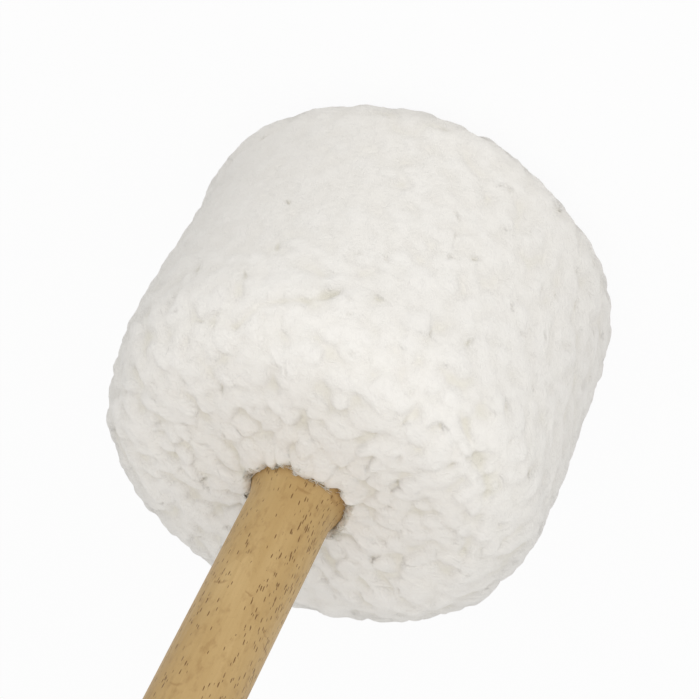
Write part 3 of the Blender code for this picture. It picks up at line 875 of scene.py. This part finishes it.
def close_panel(name, outer, backing, fibres, on_axis, height, place, normals, material):
    """A piece from its loose fibres and from the pile's grid and its backing's, joined along their edges.

    Where the panel reaches the axis, the rows that meet there are one point each."""
    grid = np.concatenate([outer, backing[::-1]])
    kept = np.ones(grid.shape[:2], bool)
    middle = len(outer) - 1
    if on_axis:
        kept[middle:middle + 2, 1:] = False
    numbers = np.cumsum(kept).reshape(kept.shape) - 1
    following = np.roll(numbers, -1, axis=1)
    faces = []
    for i in range(len(grid)):
        below = (i + 1) % len(grid)
        if not (on_axis and i == middle):
            faces.append(np.stack([numbers[i], numbers[below], following[below], following[i]], -1))
    faces = [list(dict.fromkeys(face)) for face in np.concatenate(faces).tolist()]
    faces += tube_faces(kept.sum(), fibres)
    vertices = np.concatenate([grid[kept], fibres.reshape(-1, 3)])
    mesh = bpy.data.meshes.new(name)
    mesh.from_pydata(vertices.tolist(), [], faces)
    mesh.shade_smooth()
    shading = np.empty(3 * len(vertices))
    mesh.vertices.foreach_get("normal", shading)
    shading = shading.reshape(-1, 3)
    pile = kept[:len(outer)]
    shading[:pile.sum()] = normals[pile]
    mesh.normals_split_custom_set_from_vertices(shading.tolist())
    padding = len(vertices) - pile.sum()
    stored = mesh.attributes.new("pile_height", "FLOAT", "POINT")
    stored.data.foreach_set("value", np.concatenate([height[pile], np.zeros(padding)]))
    stored = mesh.attributes.new("tuft_place", "FLOAT_VECTOR", "POINT")
    stored.data.foreach_set("vector", np.concatenate([place[pile].ravel(), np.zeros(3 * padding)]))
    mesh.materials.append(material)
    piece = bpy.data.objects.new(name, mesh)
    bpy.context.scene.collection.objects.link(piece)
    return piece


def panel_grid(start, end, columns):
    """Turns and runs over a panel between two edges, which follow the seams."""
    turn = np.linspace(0, 2 * math.pi, columns, endpoint=False)
    sway = seam_sway(turn)
    first = start + (sway if start > 0 else 0)
    last = end + (sway if end < COVER_LENGTH else 0)
    rows = round((end - start) / PILE_SPACING)
    part = np.linspace(0, 1, rows)[:, None]
    run = first + (last - first) * part
    return np.broadcast_to(turn, run.shape).copy(), run


def keep_clear(points):
    """Keeps the pile off the handle and on the floor."""
    radius = np.hypot(points[..., 0], points[..., 1])
    free = handle_radius(points[..., 2]) + WOOD_GAP
    above = points[..., 2] > NEAR_PLANE - FLEECE_THICKNESS
    scale = np.where(above & (radius < free), free / np.maximum(radius, TINY), 1)
    points[..., 0] *= scale
    points[..., 1] *= scale
    points[..., 2] = np.maximum(points[..., 2], 0)
    return points


def make_wisps(tree, points):
    """Vertices of the loose fibres round the neck, by fibre, station and corner."""
    random = np.random.default_rng(PILE_SEED)
    part = np.linspace(0, 1, WISP_STATIONS)[:, None]
    fibres = []
    for _ in range(WISP_COUNT):
        turn = np.array(random.uniform(0, 2 * math.pi))
        run = NECK_RUN + np.array(random.uniform(*WISP_BAND))
        rooted, upward, onward, around = on_cover(turn, run)
        root = points[tree.find(rooted)[1]]
        slant = random.uniform(-WISP_SLANT, WISP_SLANT)
        for _ in range(WISP_FIBRES):
            way = slant + WISP_SPREAD * random.uniform(-1, 1)
            sideways = math.cos(way) * around + math.sin(way) * onward
            course = math.sin(way) * around - math.cos(way) * onward + WISP_LIFT * upward
            curl = random.uniform(-1, 1) * sideways - WISP_LIFT * upward
            start = root + WISP_SPREAD * WISP_LENGTH * random.uniform(-0.5, 0.5) * sideways
            length = WISP_LENGTH * random.uniform(WISP_SHORTEST, 1)
            line = keep_clear(start + length * (part * course + WISP_CURL * part**2 * curl))
            thickness = WISP_RADIUS * (1 - WISP_TAPER * part)
            corners = (upward, sideways - upward, -sideways - upward)
            fibres.append(np.stack([line + thickness * corner for corner in corners], 1))
    return np.stack(fibres)


def tube_faces(first, fibres):
    """Faces of the closed tubes round each fibre, whose vertices are numbered from the first."""
    count, stations, corners = fibres.shape[:3]
    numbers = first + np.arange(count * stations * corners).reshape(count, stations, corners)
    following = np.roll(numbers, -1, axis=2)
    sides = np.stack([numbers[:, :-1], following[:, :-1], following[:, 1:], numbers[:, 1:]], -1)
    ends = np.concatenate([numbers[:, 0, ::-1], numbers[:, -1]])
    return sides.reshape(-1, 4).tolist() + ends.tolist()


def tree_of(points):
    """A tree that finds the points near a place."""
    tree = kdtree.KDTree(len(points))
    for i, point in enumerate(points):
        tree.insert(point, i)
    tree.balance()
    return tree


def raise_pile(tree, warped, turn, run, plain, normals):
    """The pile over each point of the plain cover: its own point, that of the puffed-up cover under it, the
    height that sets the painted shade of its crevices, and the place in its tufts."""
    tuft_height, lean, place, sunk = grow(tree, warped, TUFTS, PILE_SEED)
    curl_height, curl_lean, _, _ = grow(tree, warped, CURLS, PILE_SEED + 1)
    sunk += groove_depth(turn, run, plain)
    petals = petals_at(run)
    curl_height *= 1 - PETAL_PLAINNESS * petals
    height = tuft_height + curl_height
    softened = soften(height.reshape(-1, PILE_COLUMNS)).ravel()
    height = softened + PETAL_CRISPNESS * petals * (height - softened) - sunk
    fine_fluff = waves(plain, FLUFF_SIZE / 2, NOISE_SEEDS["fine_fluff"]) / 2
    fluff = FLUFF_HEIGHT * (waves(plain, FLUFF_SIZE, NOISE_SEEDS["fluff"]) + fine_fluff)
    rooted = smoothstep(NECK_RUN - NECK_ROOT, NECK_RUN, run)
    relief = relief_at(turn, run)
    depth = PILE_DEPTH * relief * smoothstep(NECK_RUN, NECK_RUN + NECK_SPREAD, run)
    clumps = CLUMP_HEIGHT * relief * waves(plain, CLUMP_SIZE, NOISE_SEEDS["clumps"])
    broad = rooted * (look_up(simulate_cover(), turn, run) + swelling(turn, run) + clumps)
    rise = rooted * (height - depth + fluff) + broad
    tipping = (LUMP_LEAN + (PETAL_LEAN - LUMP_LEAN) * petals)[:, None]
    sideways = tipping * (lean * tuft_height[:, None] + curl_lean * curl_height[:, None])
    outward = np.stack([np.cos(turn), np.sin(turn), np.zeros_like(turn)], -1)
    cover = plain + normals * broad[:, None]
    points = plain + normals * rise[:, None] + sideways * rooted[:, None]
    mound = neck_mound(turn, run)
    points += outward * neck_gape(turn, run, plain[:, 2], mound + np.maximum(rise, 0))[:, None]
    points[:, 2] += mound
    share = height / relief / (TUFTS["height"] + CURLS["height"])
    shown_height = clamp(PILE_MIDDLE + (share - PILE_MIDDLE) * np.sqrt(relief), 0, 1)
    return keep_clear(points), cover, shown_height, place


def make_fleece():
    """The three panels of the cover, with their pile."""
    material = fleece_material()
    panels = {
        "near": panel_grid(0, NEAR_SEAM, PILE_COLUMNS),
        "wall": panel_grid(NEAR_SEAM, FAR_SEAM, PILE_COLUMNS),
        "far": panel_grid(FAR_SEAM, COVER_LENGTH, PILE_COLUMNS),
    }
    nodes = {"near": "fleece_near_cap", "wall": "fleece_side_wall", "far": "fleece_far_cap"}
    turn = np.concatenate([grid[0].ravel() for grid in panels.values()])
    run = np.concatenate([grid[1].ravel() for grid in panels.values()])
    plain, normals, _, _ = on_cover(turn, run)
    warped = plain + WARP_SHIFT * np.stack([waves(plain, WARP_SIZE, seed) for seed in WARP_SEEDS], -1)
    tree = tree_of(warped)
    points, cover, shown_height, place = raise_pile(tree, warped, turn, run, plain, normals)
    no_fibres = np.zeros((0, WISP_STATIONS, 3, 3))
    wisps = {"near": make_wisps(tree, points), "wall": no_fibres, "far": no_fibres}
    grids, shades, begin = {}, {}, 0
    for key, (_, grid_run) in panels.items():
        own = slice(begin, begin + grid_run.size)
        begin += grid_run.size
        shape = grid_run.shape
        grids[key] = points[own].reshape(*shape, 3)
        cover_normals = grid_normals(cover[own].reshape(*shape, 3))
        shades[key] = (1 - PILE_SOFTNESS) * grid_normals(grids[key]) + PILE_SOFTNESS * cover_normals
        panels[key] += (shown_height[own].reshape(shape), place[own].reshape(*shape, 3))
    for upper, lower in (("near", "wall"), ("wall", "far")):
        shared = shades[upper][-1] + shades[lower][0]
        shades[upper][-1] = shades[lower][0] = shared / 2
        grids[upper][-1] = grids[lower][0] = (grids[upper][-1] + grids[lower][0]) / 2
    for key, (grid_turn, grid_run, grid_height, grid_place) in panels.items():
        rows = np.linspace(0, len(grid_run) - 1, BACKING_ROWS).round().astype(int)
        inner, inward, _, _ = on_cover(grid_turn[rows], grid_run[rows])
        backing = inner - inward * FLEECE_THICKNESS
        piece = close_panel(
            key + "_fleece", grids[key], backing, wisps[key], key == "far",
            grid_height, grid_place, shades[key], material,
        )
        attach(piece, "root")
        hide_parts(nodes[key])


# Stage and light

FLOOR_SIZE = 6.0
FLOOR_DROP = 0.0002
FLOOR_SHOWN = 0.94
FLOOR_COLOUR = (0.80, 0.80, 0.80, 1)
WORLD_LIGHT = 0.62
KEY_PLACE = (-0.05, -0.95, 0.45)
KEY_SIZE = 1.3
KEY_POWER = 4.95
TOP_PLACE = (0.0, -0.2, 1.2)
TOP_SIZE = 1.4
TOP_POWER = 2.4


def shown_white(tree):
    """1 for camera, glossy and transmission rays, which see the background as white."""
    path = add(tree, "ShaderNodeLightPath").outputs
    seen = maths(tree, "ADD", path["Is Camera Ray"], path["Is Glossy Ray"])
    seen = maths(tree, "ADD", seen, path["Is Transmission Ray"])
    return maths(tree, "MINIMUM", seen, 1.0)


def make_stage():
    """A pale floor that shows white with a faint shadow, and a white world."""
    made, tree, shader = new_material("floor_white")
    shader.inputs["Base Color"].default_value = FLOOR_COLOUR
    shader.inputs["Roughness"].default_value = 1.0
    shader.inputs["Specular IOR Level"].default_value = 0.0
    glow = add(tree, "ShaderNodeEmission", {"Color": (1, 1, 1, 1), "Strength": 1.0})
    seen = maths(tree, "MULTIPLY", shown_white(tree), FLOOR_SHOWN)
    mix = add(tree, "ShaderNodeMixShader", {0: seen, 1: shader.outputs[0], 2: glow.outputs[0]})
    output = next(node for node in tree.nodes if node.type == "OUTPUT_MATERIAL")
    tree.links.new(mix.outputs[0], output.inputs["Surface"])
    half = FLOOR_SIZE / 2
    mesh = bpy.data.meshes.new("floor")
    corners = [(-half, -half, 0), (half, -half, 0), (half, half, 0), (-half, half, 0)]
    mesh.from_pydata(corners, [], [(0, 1, 2, 3)])
    mesh.materials.append(made)
    floor = bpy.data.objects.new("floor", mesh)
    floor.location.z = -FLOOR_DROP
    bpy.context.scene.collection.objects.link(floor)

    world = bpy.data.worlds.new("world")
    world.use_nodes = True
    tree = world.node_tree
    background = tree.nodes["Background"]
    background.inputs["Color"].default_value = (1, 1, 1, 1)
    strength = spread(tree, shown_white(tree), 0.0, 1.0, WORLD_LIGHT, 1.0)
    tree.links.new(strength, background.inputs["Strength"])
    bpy.context.scene.world = world


def make_light(name, place, size, power):
    """A square soft light that points at the head."""
    data = bpy.data.lights.new(name, "AREA")
    data.size = size
    data.energy = power
    lamp = bpy.data.objects.new(name, data)
    bpy.context.scene.collection.objects.link(lamp)
    target = Vector((0, 0, NEAR_PLANE / 2))
    lamp.location = place
    lamp.rotation_euler = (target - Vector(place)).to_track_quat("-Z", "Y").to_euler()


# Pieces inside the head

# Each material's light and dark colour, mottles per metre along X, Y and Z, roughness, metallic and nodes
INSIDES = {
    "core_beech": (
        (0.70, 0.54, 0.34, 1), (0.58, 0.41, 0.23, 1), (900, 900, 60), 0.60, 0,
        ["core_block"],
    ),
    "zinc_steel": (
        (0.72, 0.71, 0.68, 1), (0.52, 0.52, 0.52, 1), (1500, 1500, 1500), 0.35, 1,
        ["retaining_washer", "retaining_screw"],
    ),
    "cream_foam": (
        (0.82, 0.78, 0.63, 1), (0.62, 0.56, 0.40, 1), (1800, 1800, 1800), 0.93, 0,
        ["foam_sleeve", "foam_far_pad", "foam_near_ring"],
    ),
    "wool_felt": (
        (0.76, 0.73, 0.66, 1), (0.62, 0.58, 0.50, 1), (700, 700, 1600), 0.95, 0,
        ["felt_winding"],
    ),
    "sewing_thread": (
        (0.86, 0.84, 0.79, 1), (0.70, 0.67, 0.60, 1), (3000, 3000, 900), 0.80, 0,
        ["near_seam_thread", "far_seam_thread", "side_seam_thread"],
    ),
    "twisted_cotton": (
        (0.80, 0.77, 0.70, 1), (0.60, 0.56, 0.47, 1), (1500, 1500, 2500), 0.90, 0,
        ["neck_drawstring"],
    ),
}


def dress_handle_and_insides():
    """Materials of the CAD nodes that stay."""
    dress("handle", beech_material())
    for name, (light, dark, scale, roughness, metallic, nodes) in INSIDES.items():
        material = plain_material(name, light, dark, scale, roughness, metallic)
        for node in nodes:
            dress(node, material)


make_camera()
make_stage()
make_light("key_light", KEY_PLACE, KEY_SIZE, KEY_POWER)
make_light("top_light", TOP_PLACE, TOP_SIZE, TOP_POWER)
bpy.context.scene.view_settings.view_transform = "Standard"
dress_handle_and_insides()
make_fleece()
